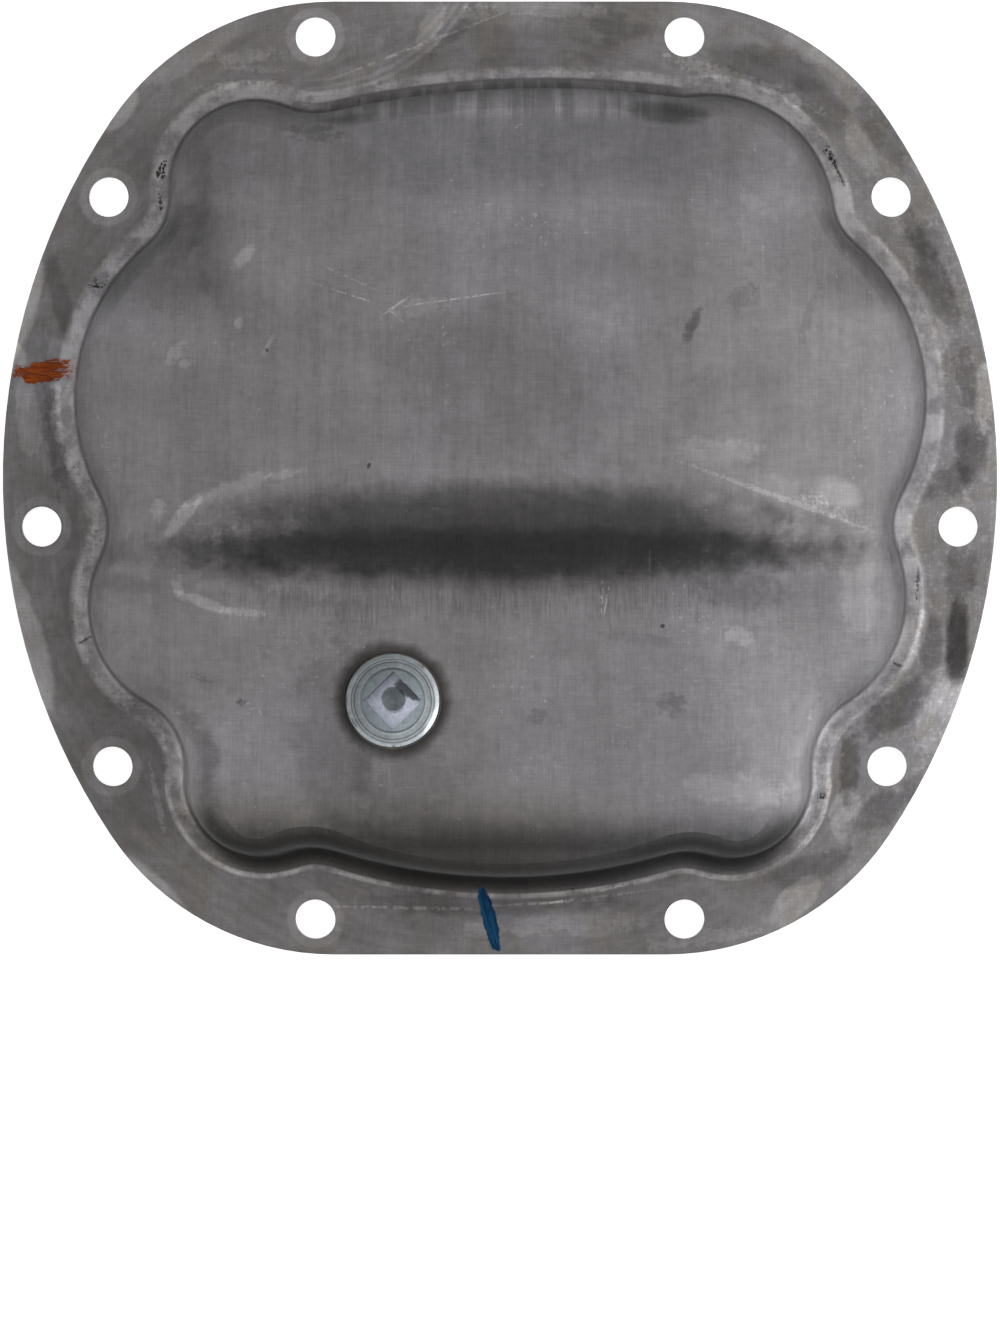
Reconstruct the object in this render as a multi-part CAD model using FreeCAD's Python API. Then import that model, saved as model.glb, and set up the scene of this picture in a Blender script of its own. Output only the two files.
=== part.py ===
"""Differential cover: a pan pressed from steel sheet, with a filler bung welded inside and a square-drive filler plug.

Row frame, in millimetres: the origin is the centre of the mating face, +Z points out of the dome,
+Y is the cover's upper edge and +X is to the right when the dome is looked at.
"""
import FreeCAD, Part
import math
import os

V = FreeCAD.Vector
UP = V(0, 0, 1)

# Sheet and flange
SHEET = 2.8                 # thickness of the steel, the same in flange, wall and dome
FLANGE_HALF_HEIGHT = 114.1  # to the flat upper and lower edges
CORNER_RADIUS = 64.1
CORNER_CENTRE_X = 39.8
SIDE_RADIUS = 154.1
EDGE_BREAK = 0.4            # sheared edges, rubbed smooth

# Bolt holes: five pairs, each mirrored about X = 0, in from the flange's edge
HOLE_DIAMETER = 9.6
END_HOLE_X = 44.2           # the pairs along the flat upper and lower edges
END_HOLE_TO_EDGE = 8.4
SIDE_HOLE_TO_EDGE = 8.8     # the other pairs lie along the side arcs, at these angles
UPPER_HOLE_ANGLE = 27.6
MIDDLE_HOLE_ANGLE = -4.6
LOWER_HOLE_ANGLE = -28.4

# Fold line, where the flange turns up: a hollow scallop about each bolt hole, joined by outward lobes.
# Each line is the radius of a hole's scallop and that of the lobe after it, anticlockwise. The lobe's is
# given as a share of the distance between its two holes.
SCALLOPS_AND_LOBES = [
    (10.5, 0.676),          # middle right
    (8.9, 0.567),           # upper right
    (9.0, 2.67),            # top right
    (12.7, 0.415),          # top left
    (9.4, 0.67),            # upper left
    (10.6, 0.534),          # middle left
    (12.0, 0.404),          # lower left
    (11.4, 1.595),          # bottom left
    (10.5, 0.414),          # bottom right
    (13.0, 0.592),          # lower right
]
FOOT_RADIUS = 6.2           # outside, where the flange turns up into the wall
WALL_DRAFT = 6.0            # degrees off the vertical
SHOULDER_RADIUS = 7.5       # outside, where the wall turns over into the dome

# Dome: heights of the outer skin above the mating face
NOSE_HEIGHT = 50.0          # the ridge along the trough's upper side
NOSE_SLOPE = 0.09           # fall per millimetre from the ridge towards the upper edge
BEND_Y = 46.0               # the dome falls faster above this line
BEND_HALF = 26.0
UPPER_SLOPE = 0.38
CROWN_X = 2.0
CROWN_RADIUS = 430.0        # across the dome, about the line X = CROWN_X
END_X = 56.0                # beyond this the dome falls faster towards each side
END_HALF = 24.0
END_SLOPE = 0.26
LOWER_DROP = 11.4           # from the ridge down to the lower field at the trough's lower rim
LOWER_CROWN_RADIUS = 2000.0
LOWER_SLOPE = 0.075         # it rises towards the lower edge
SKIRT_TO_EDGE = 34.6        # and rolls over this far in from the flange's lower edge
SKIRT_HALF = 11.0
SKIRT_SLOPE = 0.65

# Trough pressed across the dome, under the ridge
TROUGH_FLOOR_Y = -19.5
TROUGH_RIM_Y = -33.0        # its lower rim
TROUGH_DIP = 2.4            # from the lower field down to the floor
RIDGE_Y = 2.5               # the upper rim along the middle
RIDGE_HALF_LENGTH = 47.0    # beyond this the upper rim slants down to each end
RIDGE_SLANT = 0.42
RIDGE_TURN = 14.0
RIDGE_LEAST = 6.0           # the upper slope is never narrower than this
SLOPE_POWER = 2.0           # how much steeper the upper slope is at its foot
DIP_HALF_LENGTH = 72.0
DIP_FADE_HALF = 8.0
FLOOR_SOFT = 6.5
RIM_SOFT = 4.0

# Spacing of the points that the dome's skin is drawn through
COARSE_STEP = 9.0
FIELD_STEP = 7.0
FINE_STEP = 2.3

# Filler hole, bung and plug
PLUG_X, PLUG_Y = -24.7, -51.4
THREAD_DIAMETER = 21.4
PLUG_STAND = 2.6            # the plug's face above the dome
PLUG_LENGTH = 13.5
PLUG_CHAMFER = 0.9
PLUG_LEAD = 1.5
RECESS_DIAMETER = 15.2
RECESS_FLOOR_DIAMETER = 14.2
RECESS_DEPTH = 1.7
SQUARE_DRIVE = 9.6
SQUARE_TURN = 44.0          # degrees
SQUARE_DEPTH = 8.4
DRILL_DIAMETER = 5.6
DRILL_DEPTH = 0.9
FILLER_HOLE_DIAMETER = 22.4
BUNG_DIAMETER = 31.0
BUNG_LENGTH = 9.0
BUNG_CHAMFER = 1.2


def unit(vector):
    return vector * (1.0 / vector.Length)


def lobe_centre(hole, next_hole, reach, next_reach):
    """Point inside the pan at the two given distances from two neighbouring holes."""
    span = next_hole - hole
    along = (reach ** 2 - next_reach ** 2 + span.Length ** 2) / (2 * span.Length)
    aside = math.sqrt(reach ** 2 - along ** 2)
    direction = unit(span)
    inward = V(-direction.y, direction.x, 0)
    return hole + direction * along + inward * aside


def fold_arcs():
    """The fold line as tangent arcs: centre, start and end direction, radius, and its change with the inset."""
    holes = hole_places()
    scallops = [scallop for scallop, _ in SCALLOPS_AND_LOBES]
    count = len(holes)
    lobes = []
    centres = []
    for i in range(count):
        after = (i + 1) % count
        lobes.append(SCALLOPS_AND_LOBES[i][1] * holes[i].distanceToPoint(holes[after]))
        centres.append(lobe_centre(holes[i], holes[after], lobes[i] + scallops[i], lobes[i] + scallops[after]))
    arcs = []
    for i in range(count):
        after = (i + 1) % count
        arcs.append((centres[i], unit(holes[i] - centres[i]), unit(holes[after] - centres[i]), lobes[i], -1))
        arcs.append((holes[after], unit(centres[i] - holes[after]), unit(centres[after] - holes[after]),
                     scallops[after], 1))
    return arcs


def scalloped_wire(inset, z):
    """The fold line drawn at height z, parallel to itself at an inset towards the middle."""
    edges = []
    for centre, start, end, radius, change in fold_arcs():
        centre = centre + UP * z
        reach = radius + change * inset
        edges.append(Part.Arc(centre + start * reach, centre + unit(start + end) * reach,
                              centre + end * reach).toShape())
    return Part.Wire(edges)


def drafted_walls(depth, low, high):
    """Solid within the scalloped walls, each arc a true cone at the wall's draft."""
    low_inset = wall_inset(low, depth)
    high_inset = wall_inset(high, depth)
    faces = [Part.Face(scalloped_wire(low_inset, low)), Part.Face(scalloped_wire(high_inset, high))]
    for centre, start, end, radius, change in fold_arcs():
        slant = Part.makeLine(centre + start * (radius + change * low_inset) + UP * low,
                              centre + start * (radius + change * high_inset) + UP * high)
        turn = math.degrees(math.atan2(start.cross(end).z, start.dot(end)))
        faces.append(slant.revolve(centre, UP * math.copysign(1, turn), abs(turn)))
    shell = Part.makeShell(faces)
    shell.sewShape()
    solid = Part.makeSolid(shell)
    if solid.Volume < 0:
        solid.reverse()
    return solid


def flange_centres():
    """Centres of the flange's upper right corner arc and of its right side arc."""
    corner = V(CORNER_CENTRE_X, FLANGE_HALF_HEIGHT - CORNER_RADIUS, 0)
    reach = SIDE_RADIUS - CORNER_RADIUS
    return corner, V(corner.x - math.sqrt(reach ** 2 - corner.y ** 2), 0, 0)


def flange_wire():
    """Outer edge: flat top and bottom, four corner arcs and two side arcs, all tangent."""
    corner, side_centre = flange_centres()
    side = side_centre + V(SIDE_RADIUS, 0, 0)
    tangent = corner + unit(corner - side_centre) * CORNER_RADIUS
    top = V(corner.x, FLANGE_HALF_HEIGHT, 0)
    corner_middle = corner + unit(unit(tangent - corner) + V(0, 1, 0)) * CORNER_RADIUS

    def at(point, sx, sy):
        return V(point.x * sx, point.y * sy, 0)

    edges = []
    for sx, sy in ((1, 1), (-1, 1), (-1, -1), (1, -1)):
        corner_arc = Part.Arc(at(tangent, sx, sy), at(corner_middle, sx, sy), at(top, sx, sy)).toShape()
        if sx * sy > 0:
            edges += [corner_arc, Part.makeLine(at(top, sx, sy), at(top, -sx, sy))]
        else:
            edges += [corner_arc, Part.Arc(at(tangent, sx, sy), at(side, sx, 1), at(tangent, sx, -sy)).toShape()]
    return Part.Wire(edges)


def hole_places():
    """Centres of the bolt holes, anticlockwise from the middle of the right side."""
    _, side_centre = flange_centres()
    reach = SIDE_RADIUS - SIDE_HOLE_TO_EDGE

    def on_side(angle):
        turn = math.radians(angle)
        return side_centre + V(math.cos(turn), math.sin(turn), 0) * reach

    end_y = FLANGE_HALF_HEIGHT - END_HOLE_TO_EDGE
    right = [on_side(MIDDLE_HOLE_ANGLE), on_side(UPPER_HOLE_ANGLE), V(END_HOLE_X, end_y, 0)]
    low_right = [V(END_HOLE_X, -end_y, 0), on_side(LOWER_HOLE_ANGLE)]
    left = [V(-p.x, p.y, 0) for p in reversed(low_right + right)]
    return right + left + low_right


def soft_step(t):
    """Smooth step from 0 at t = -1 to 1 at t = 1."""
    t = max(-1.0, min(1.0, t))
    return 0.5 + 0.75 * t - 0.25 * t ** 3


def soft_ramp(distance, half):
    """Zero before a bend and the distance past it, rounded over half a width each side of it."""
    if distance <= -half:
        return 0.0
    if distance >= half:
        return distance
    t = distance / half
    return half * (0.5 * t + 0.375 * t ** 2 - 0.0625 * t ** 4 + 0.1875)


def ridge_y(x):
    """Upper rim of the trough: straight along the middle, slanting down to each end."""
    past = soft_ramp(abs(x - CROWN_X) - RIDGE_HALF_LENGTH, RIDGE_TURN)
    return max(RIDGE_Y - RIDGE_SLANT * past, TROUGH_FLOOR_Y + RIDGE_LEAST)


def upper_height(x, y):
    """The dome as if it had no trough: a long crown, falling faster near the sides and the upper edge."""
    across = abs(x - CROWN_X)
    z = NOSE_HEIGHT - NOSE_SLOPE * (y - RIDGE_Y)
    z -= (UPPER_SLOPE - NOSE_SLOPE) * soft_ramp(y - BEND_Y, BEND_HALF)
    return z - across ** 2 / (2 * CROWN_RADIUS) - END_SLOPE * soft_ramp(across - END_X, END_HALF)


def dome_height(x, y):
    """Height of the dome's outer skin over the mating face."""
    across = abs(x - CROWN_X)
    z = upper_height(x, TROUGH_FLOOR_Y + soft_ramp(y - TROUGH_FLOOR_Y, FLOOR_SOFT))
    lower = NOSE_HEIGHT - LOWER_DROP - across ** 2 / (2 * LOWER_CROWN_RADIUS)
    drop = soft_ramp(upper_height(x, TROUGH_FLOOR_Y) - lower, RIM_SOFT)

    up_slope = min(soft_ramp(y - TROUGH_FLOOR_Y, FLOOR_SOFT) / (ridge_y(x) - TROUGH_FLOOR_Y), 1.0)
    left = (1 - up_slope) ** SLOPE_POWER
    z -= drop * left

    out_of_floor = soft_ramp(TROUGH_FLOOR_Y - y, FLOOR_SOFT) - soft_ramp(TROUGH_RIM_Y - y, RIM_SOFT)
    risen = out_of_floor / (TROUGH_FLOOR_Y - TROUGH_RIM_Y)
    z -= TROUGH_DIP * soft_step((DIP_HALF_LENGTH - across) / DIP_FADE_HALF) * (1 - risen) * left

    skirt_y = SKIRT_TO_EDGE - FLANGE_HALF_HEIGHT
    z += LOWER_SLOPE * soft_ramp(TROUGH_RIM_Y - y, SKIRT_HALF)
    z -= (SKIRT_SLOPE + LOWER_SLOPE) * soft_ramp(skirt_y - y, SKIRT_HALF)
    return z


def dome_normal(x, y):
    step = 0.05
    slope_x = (dome_height(x + step, y) - dome_height(x - step, y)) / (2 * step)
    slope_y = (dome_height(x, y + step) - dome_height(x, y - step)) / (2 * step)
    return unit(V(-slope_x, -slope_y, 1))


def stations(start, end, step):
    count = int(math.ceil((end - start) / step))
    return [start + (end - start) * i / count for i in range(count + 1)]


def under_dome(depth):
    """Block under the dome's skin, or under a parallel skin at a depth below it."""
    _, side_centre = flange_centres()
    half_width = side_centre.x + SIDE_RADIUS
    floor_start = TROUGH_RIM_Y - RIM_SOFT
    floor_end = TROUGH_FLOOR_Y + FLOOR_SOFT
    xs = stations(-half_width, half_width, COARSE_STEP)
    ys = stations(-FLANGE_HALF_HEIGHT, floor_start - FIELD_STEP, FIELD_STEP)
    ys += stations(floor_start, floor_end, FINE_STEP)
    ys += stations(floor_end + FINE_STEP, RIDGE_Y + FINE_STEP, 2 * FINE_STEP)
    ys += stations(RIDGE_Y + FIELD_STEP, FLANGE_HALF_HEIGHT, COARSE_STEP)
    rows = []
    for x in xs:
        rows.append([V(x, y, dome_height(x, y)) - dome_normal(x, y) * depth for y in ys])
    surface = Part.BSplineSurface()
    surface.interpolate(rows)
    return surface.toShape().extrude(V(0, 0, -3 * NOSE_HEIGHT))


def wall_inset(z, depth):
    """Inset from the fold line to the drafted wall's face, or to a face at a depth behind it."""
    draft = math.radians(WALL_DRAFT)
    corner = FOOT_RADIUS * math.tan((math.pi / 2 - draft) / 2)
    return corner + (z - SHEET) * math.tan(draft) + depth / math.cos(draft)


def dome_block(depth, base):
    """The pan's solid form above a base level, its shoulder rounded."""
    top = NOSE_HEIGHT + SHOULDER_RADIUS
    block = drafted_walls(depth, base, top).common(under_dome(depth))
    shoulder = [e for e in block.Edges if min(v.Point.z for v in e.Vertexes) > base + SHEET]
    return block.makeFillet(SHOULDER_RADIUS - depth, shoulder)


def foot_edges(shape, z):
    """Edges of the pan's foot, lying in the plane at z and inside the fold line."""
    inner = Part.Face(scalloped_wire(1.0, z))
    found = []
    for edge in shape.Edges:
        if any(abs(v.Point.z - z) > 1e-4 for v in edge.Vertexes):
            continue
        middle = edge.valueAt((edge.FirstParameter + edge.LastParameter) / 2)
        if abs(middle.z - z) < 1e-4 and inner.isInside(middle, 1e-3, True):
            found.append(edge)
    return found


def flange_plate():
    """Flat flange with its edge broken and the bolt holes punched, not yet opened for the pan."""
    plate = Part.Face(flange_wire()).extrude(UP * SHEET)
    rim = [e for e in plate.Edges if abs(e.Vertexes[0].Point.z - e.Vertexes[-1].Point.z) < 1e-6]
    plate = plate.makeFillet(EDGE_BREAK, rim)
    for place in hole_places():
        plate = plate.cut(Part.makeCylinder(HOLE_DIAMETER / 2, 3 * SHEET, place - UP * SHEET))
    return plate


def hollow():
    """Everything inside the sheet: the parallel inner form with the rounded mouth on the mating face."""
    inner = dome_block(SHEET, 0.0)
    below = Part.Face(flange_wire()).extrude(UP * -NOSE_HEIGHT)
    inner = inner.fuse(below)
    return inner.makeFillet(FOOT_RADIUS + SHEET, foot_edges(inner, 0.0))


def plug_axis():
    """The plug stands square to the dome."""
    return dome_normal(PLUG_X, PLUG_Y)


def plug_point(height):
    """Point on the plug's axis at a height above the dome's skin."""
    return V(PLUG_X, PLUG_Y, dome_height(PLUG_X, PLUG_Y)) + plug_axis() * height


def rod(diameter, low, high):
    """Cylinder on the plug's axis between two heights above the dome."""
    return Part.makeCylinder(diameter / 2, high - low, plug_point(low), plug_axis())


def cover_pan(inside):
    """Flange and dome in one sheet, with the filler hole."""
    outer = flange_plate().fuse(dome_block(0.0, SHEET / 2)).removeSplitter()
    outer = outer.makeFillet(FOOT_RADIUS, foot_edges(outer, SHEET))
    sheet = outer.cut(inside)
    return sheet.cut(rod(FILLER_HOLE_DIAMETER, -PLUG_LENGTH, PLUG_LENGTH))


def fill_bung(inside):
    """Threaded boss against the sheet's inner face, its top shaped to the sheet."""
    low = -SHEET - BUNG_LENGTH
    blank = rod(BUNG_DIAMETER, low, SHEET)
    ends = [e for e in blank.Edges if len(e.Vertexes) == 1]
    lowest = min(ends, key=lambda e: e.CenterOfMass.z)
    blank = blank.makeChamfer(BUNG_CHAMFER, [lowest])
    boss = blank.common(inside)
    return boss.cut(rod(THREAD_DIAMETER, low - SHEET, SHEET))


def fill_plug():
    """Headless plug with a dished face and a square drive."""
    low = PLUG_STAND - PLUG_LENGTH
    body = rod(THREAD_DIAMETER, low, PLUG_STAND)
    ends = sorted([e for e in body.Edges if len(e.Vertexes) == 1], key=lambda e: e.CenterOfMass.z)
    body = body.makeChamfer(PLUG_CHAMFER, [ends[-1]])
    ends = sorted([e for e in body.Edges if len(e.Vertexes) == 1], key=lambda e: e.CenterOfMass.z)
    body = body.makeChamfer(PLUG_LEAD, [ends[0]])

    recess = Part.makeCone(
        RECESS_FLOOR_DIAMETER / 2, RECESS_DIAMETER / 2, RECESS_DEPTH,
        plug_point(PLUG_STAND - RECESS_DEPTH), plug_axis())
    body = body.cut(recess)

    half = SQUARE_DRIVE / 2
    square = Part.makeBox(SQUARE_DRIVE, SQUARE_DRIVE, SQUARE_DEPTH, V(-half, -half, -SQUARE_DEPTH))
    square.rotate(V(0, 0, 0), UP, SQUARE_TURN)
    square.Placement = FreeCAD.Placement(V(0, 0, 0), FreeCAD.Rotation(UP, plug_axis())).multiply(square.Placement)
    square.translate(plug_point(PLUG_STAND))
    body = body.cut(square)

    drill = Part.makeCone(
        0, DRILL_DIAMETER / 2, DRILL_DEPTH,
        plug_point(PLUG_STAND - SQUARE_DEPTH - DRILL_DEPTH), plug_axis())
    return body.cut(drill)


def main():
    os.makedirs("parts", exist_ok=True)
    inside = hollow()
    nodes = {
        "cover_pan": cover_pan(inside),
        "fill_bung": fill_bung(inside),
        "fill_plug": fill_plug(),
    }
    for name, shape in nodes.items():
        solid = shape.Solids[0]
        solid.exportStep("parts/" + name + ".step")
        box = solid.BoundBox
        print(name, len(shape.Solids), shape.isValid(), round(solid.Volume, 1),
              [round(value, 2) for value in (box.XMin, box.YMin, box.ZMin, box.XMax, box.YMax, box.ZMax)])


main()
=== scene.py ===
"""Looks of the differential cover: bare pressed steel with a zinc plated filler plug, on a white floor."""
import math

import bpy
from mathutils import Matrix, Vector


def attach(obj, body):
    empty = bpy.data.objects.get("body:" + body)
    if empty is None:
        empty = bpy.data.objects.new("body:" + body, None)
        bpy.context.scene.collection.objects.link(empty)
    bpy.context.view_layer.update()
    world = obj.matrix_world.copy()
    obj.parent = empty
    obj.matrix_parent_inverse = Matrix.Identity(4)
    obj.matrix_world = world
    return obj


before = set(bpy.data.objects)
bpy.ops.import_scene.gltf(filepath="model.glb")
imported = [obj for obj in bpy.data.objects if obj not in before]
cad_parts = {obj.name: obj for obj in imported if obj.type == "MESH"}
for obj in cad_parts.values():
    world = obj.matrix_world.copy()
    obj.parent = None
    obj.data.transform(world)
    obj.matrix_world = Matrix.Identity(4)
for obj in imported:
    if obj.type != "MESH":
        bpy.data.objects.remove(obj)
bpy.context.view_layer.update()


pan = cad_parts["cover_pan"]
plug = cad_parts["fill_plug"]
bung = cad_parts["fill_bung"]

MM = 0.001

# Places on the cover, in millimetres, as in the part's source
BOLT_HOLES = [(44.2, 105.7), (93.7, 67.3), (109.8, -11.7), (92.8, -69.1), (44.2, -105.7)]
FLANGE_TOP = 2.8
FLANGE_RADIUS = 110.0
PLUG_CENTRE = (-24.7, -51.3)
PLUG_ON_DOME = Vector((-24.7, -51.4, 39.8))
PLUG_AXIS = Vector((-0.0133, 0.0748, 0.9971)).normalized()
SHEET = 2.8
BUNG_RADIUS = 15.5
THREAD_PITCH = 1.81

# Marks of wear, and of painted light and shade: centre x and y, half length and half width, turn in degrees,
# brightness in stops and, where the edge is ragged, how much. Lengths are in millimetres.

# Lighter flecks and smears on the dome
DOME_PALE = [
    (-59.3, 51.2, 3.45, 1.38, 50, 0.5, 0.2),
    (-60.3, 35.8, 1.26, 1.03, 90, 0.5, 0.2),
    (-75.4, 28.9, 2.99, 1.49, 52, 0.42, 0.5),
    (-73.1, 26.4, 1.15, 0.92, 0, 0.35, 0.5),
    (-53.4, 30.5, 2.07, 0.57, 66, 0.45, 0.3),
    (-18.5, 39.3, 5.51, 1.84, 10, 0.26, 0.9),
    (-79.3, -7.3, 2.07, 1.61, 90, 0.45, 0.4),
    (58.9, 63.9, 3.22, 1.61, -35, 0.2, 0.7),
    (48.8, 6.4, 7.81, 3.22, 5, 0.42, 0.6),
    (78, -3.4, 5.05, 3.22, -15, 0.6, 0.16),
    (75.7, -6.9, 4.13, 1.15, -25, 0.45, 1.2),
    (55, -36.5, 3.22, 1.84, -20, 0.45, 0.5),
    (53.9, -72.1, 10.57, 3.67, -5, 0.4, 0.5),
    (-54.8, -11.9, 9.65, 2.07, 10, 0.5, 0.4),
    (61.2, -27.3, 3.67, 2.3, 20, 0.22, 1),
    (63.1, -54.4, 8.27, 15.62, 0, 0.26, 0.6),
    (53.9, 13.8, 6.89, 6.89, 0, 0.14, 0.35),
    (-43.7, -25.7, 11.48, 1.61, -6, 0.22, 0.6),
    (84, -24.6, 4.59, 11.02, 0, 0.45, 0.5),
    (56.2, -9.6, 11.94, 3.67, -19, 0.65, 0.3),
    (70.2, -15.4, 6.89, 5.05, -30, 0.5, 0.4),
    (66.5, -3.9, 7.81, 3.67, -20, 0.3, 0.5),
    (-65.6, -11.5, 5.97, 2.3, 30, 0.3, 0.4),
]
# Darker stains on the dome, and painted shade by the top wall
DOME_DARK = [
    (-0.1, 21.6, 20.21, 14.24, 0, -0.3, 0.2),
    (55, 15.2, 10.57, 9.88, 0, -0.16, 0.25),
    (44.2, 35.1, 3.22, 1.03, 62, -0.9, 0.4),
    (55.7, 41.6, 3.22, 2.07, 30, -0.3, 0.7),
    (71.1, 36.7, 5.05, 0.92, 72, -0.26, 0.6),
    (-43.7, 80.4, 5.05, 1.38, -5, -0.45, 0.9),
    (39.4, -52.1, 2.76, 1.84, 0, -0.5, 0.7),
    (8.4, -54.9, 1.84, 1.38, 0, -0.35, 0.8),
    (-38.2, -59, 6.89, 19.29, 0, -0.42, 0.35),
    (-21.2, -70.5, 9.65, 7.81, 0, -0.32, 0.4),
    (-70.1, -66.6, 3.9, 11.48, 8, -0.6, 0.4),
    (-59.8, -21.1, 8.73, 2.99, -3, -0.6, 0.4),
    (56.2, -26.2, 9.65, 3.22, -4, -0.4, 0.4),
    # These two rows are painted shade by the top wall
    (39.4, 85.4, 6.89, 2.3, -4, -1.2, 0.12),
    (-39.1, 85.4, 6.89, 2.07, -6, -1, 0.12),
    (-69, 60.4, 2.76, 16.08, 8, -0.3, 0.5),
    (32.1, -37.2, 6.89, 1.15, -8, -0.22, 0.6),
    (-73.6, 58.1, 3.67, 5.97, -20, -0.35, 0.5),
    (-88.3, -24.6, 1.84, 7.81, 88, -0.3, 0.5),
    (70.2, -67.1, 2.07, 2.76, 70, -0.3, 0.6),
    (-53.6, 29.4, 0.37, 0.37, 0, -1.6, 0.3),
    (-30, 2.8, 0.51, 0.32, 60, -1.8, 0.2),
    (37.6, -34.2, 0.46, 0.37, 0, -1.8, 0.2),
    (-59.8, -51.7, 0.92, 0.46, 0, -0.8, 0.9),
    (-69, -46.4, 2.07, 0.57, -25, -0.4, 0.9),
]
# Painted highlights along the rims of the trough's ends
TROUGH_RIM_HIGHLIGHTS = [
    (-73.6, -9, 5.74, 1.49, 48, 0.6, 0.25),
    (-61.6, -2.5, 10.11, 1.72, 22, 0.45, 0.3),
    (-49.7, 0.9, 4.13, 0.92, 12, 0.35, 0.4),
    (-68.5, -28.9, 6.2, 1.15, -20, 0.55, 0.3),
    (-74.5, -25.7, 2.07, 1.15, -62, 0.45, 0.3),
    (-59.8, -31, 5.05, 0.78, -4, 0.4, 0.4),
    (64.2, -4.4, 19.75, 0.55, -19.5, 0.45, 0.5),
]
# Lighter patches on the flange
FLANGE_PALE = [
    (-114.5, 41.9, 13.4, 4.07, 77, 0.9, 0.08),
    (-91, 88.6, 6.22, 3.11, 56, 0.75, 0.1),
    (-74.3, 102, 14.36, 3.83, 31, 0.35, 0.2),
    (-115.9, 29.2, 3.11, 2.63, 90, 0.7, 0.2),
    (-113.1, 15.1, 10.05, 2.87, 97, 0.45, 0.3),
    (-113.3, -38.8, 18.67, 4.07, 106, 0.8, 0.1),
    (-83.4, -98.6, 11.97, 3.59, -43, 0.7, 0.1),
    (-16.4, 108.7, 5.74, 2.39, 60, 0.45, 0.25),
    (-62.3, 101, 9.1, 1.44, 3, 0.35, 0.5),
    (-59.9, 98.1, 7.18, 0.72, -4, 0.3, 0.6),
    (9.5, 112.5, 14.36, 1.91, -2, 0.4, 0.3),
    (-82, -77.1, 7.9, 0.72, 102, 0.5, 0.3),
    (-4.9, 111.5, 3.83, 1.68, 10, 0.4, 0.4),
    (-63.5, 93.8, 7.18, 0.96, 5, 0.5, 0.8),
    (58.5, 94.3, 16.75, 1.91, -20, 0.5, 0.6),
    (-105.4, 15.8, 2.39, 7.18, 5, 0.9, 0.4),
    (-105.9, 30.6, 2.39, 4.31, 5, 0.4, 0.4),
    (98, -38.8, 8.14, 3.35, 70, 0.75, 0.15),
    (106.4, -56.7, 8.14, 5.74, 60, 0.6, 0.35),
    (82.5, -80.7, 5.74, 3.35, 70, 0.6, 0.3),
    (70.5, -101.7, 7.66, 3.35, 45, 0.6, 0.25),
    (116, 19.9, 9.57, 2.15, 86, 0.6, 0.3),
    (105.5, 34, 2.87, 6.22, -15, 0.3, 0.4),
    (106.4, -51.9, 4.79, 6.22, 20, 0.35, 0.4),
    (80.8, 100, 14.36, 3.59, -30, 0.4, 0.35),
    (96.8, -26.8, 7.18, 2.15, 85, 0.45, 0.5),
    (14.3, -107, 19.15, 2.87, 4, 0.35, 0.6),
    (86.5, 78.5, 7.18, 2.87, -62, 0.4, 0.4),
    (100.4, -86.6, 7.18, 2.39, 50, 0.45, 0.4),
    (47.8, -110.1, 11.97, 1.44, 8, 0.35, 0.6),
    (111.9, -10.1, 6.22, 1.91, 95, 0.4, 0.5),
]
# Darker stains on the flange
FLANGE_DARK = [
    (65, 97.7, 13.88, 4.55, -12, -0.55, 0.12),
    (77, 89.5, 8.14, 3.83, -50, -0.5, 0.15),
    (92.8, 80.4, 9.57, 3.35, -58, -0.5, 0.3),
    (101.6, 58.2, 7.66, 3.11, -55, -0.5, 0.4),
    (103.8, 47.9, 11.97, 3.11, -70, -0.75, 0.3),
    (111.4, 23.5, 8.14, 2.15, -80, -0.5, 0.5),
    (112.9, 6.7, 6.7, 3.59, 90, -0.9, 0.3),
    (107.1, -1, 5.27, 3.35, 30, -0.6, 0.4),
    (-0.1, 102.4, 26.33, 6.22, 0, -0.28, 0.3),
    (-105.4, 43.1, 2.15, 10.53, 12, -0.5, 0.2),
    (-0.1, -101.5, 26.33, 3.35, 0, -0.5, 0.3),
    (-10.9, 106.3, 7.18, 0.96, 44, -0.3, 0.6),
    (110.5, -22.5, 6.7, 3.35, 85, -0.6, 0.35),
    (109.5, -39, 8.86, 2.51, 87, -2, 0.2),
    (103.1, -40, 6.46, 2.63, 86, -0.7, 0.25),
    (94.9, -55.1, 8.62, 3.83, 38, -0.85, 0.3),
    (92.1, -79, 9.57, 3.11, 32, -0.7, 0.35),
    (83.7, -69.2, 7.9, 2.15, 86, -0.8, 0.3),
    (74.8, -93.1, 8.38, 2.87, 20, -0.6, 0.4),
    (-106.6, 10.3, 11.97, 1.91, 97, -0.5, 0.5),
    (30.3, 107.7, 6.22, 3.11, 0, -0.35, 0.7),
    (-101.8, -29.2, 9.57, 2.87, 100, -0.3, 0.5),
    (-74.3, -77.1, 7.18, 2.87, 120, -0.3, 0.5),
]
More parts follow.
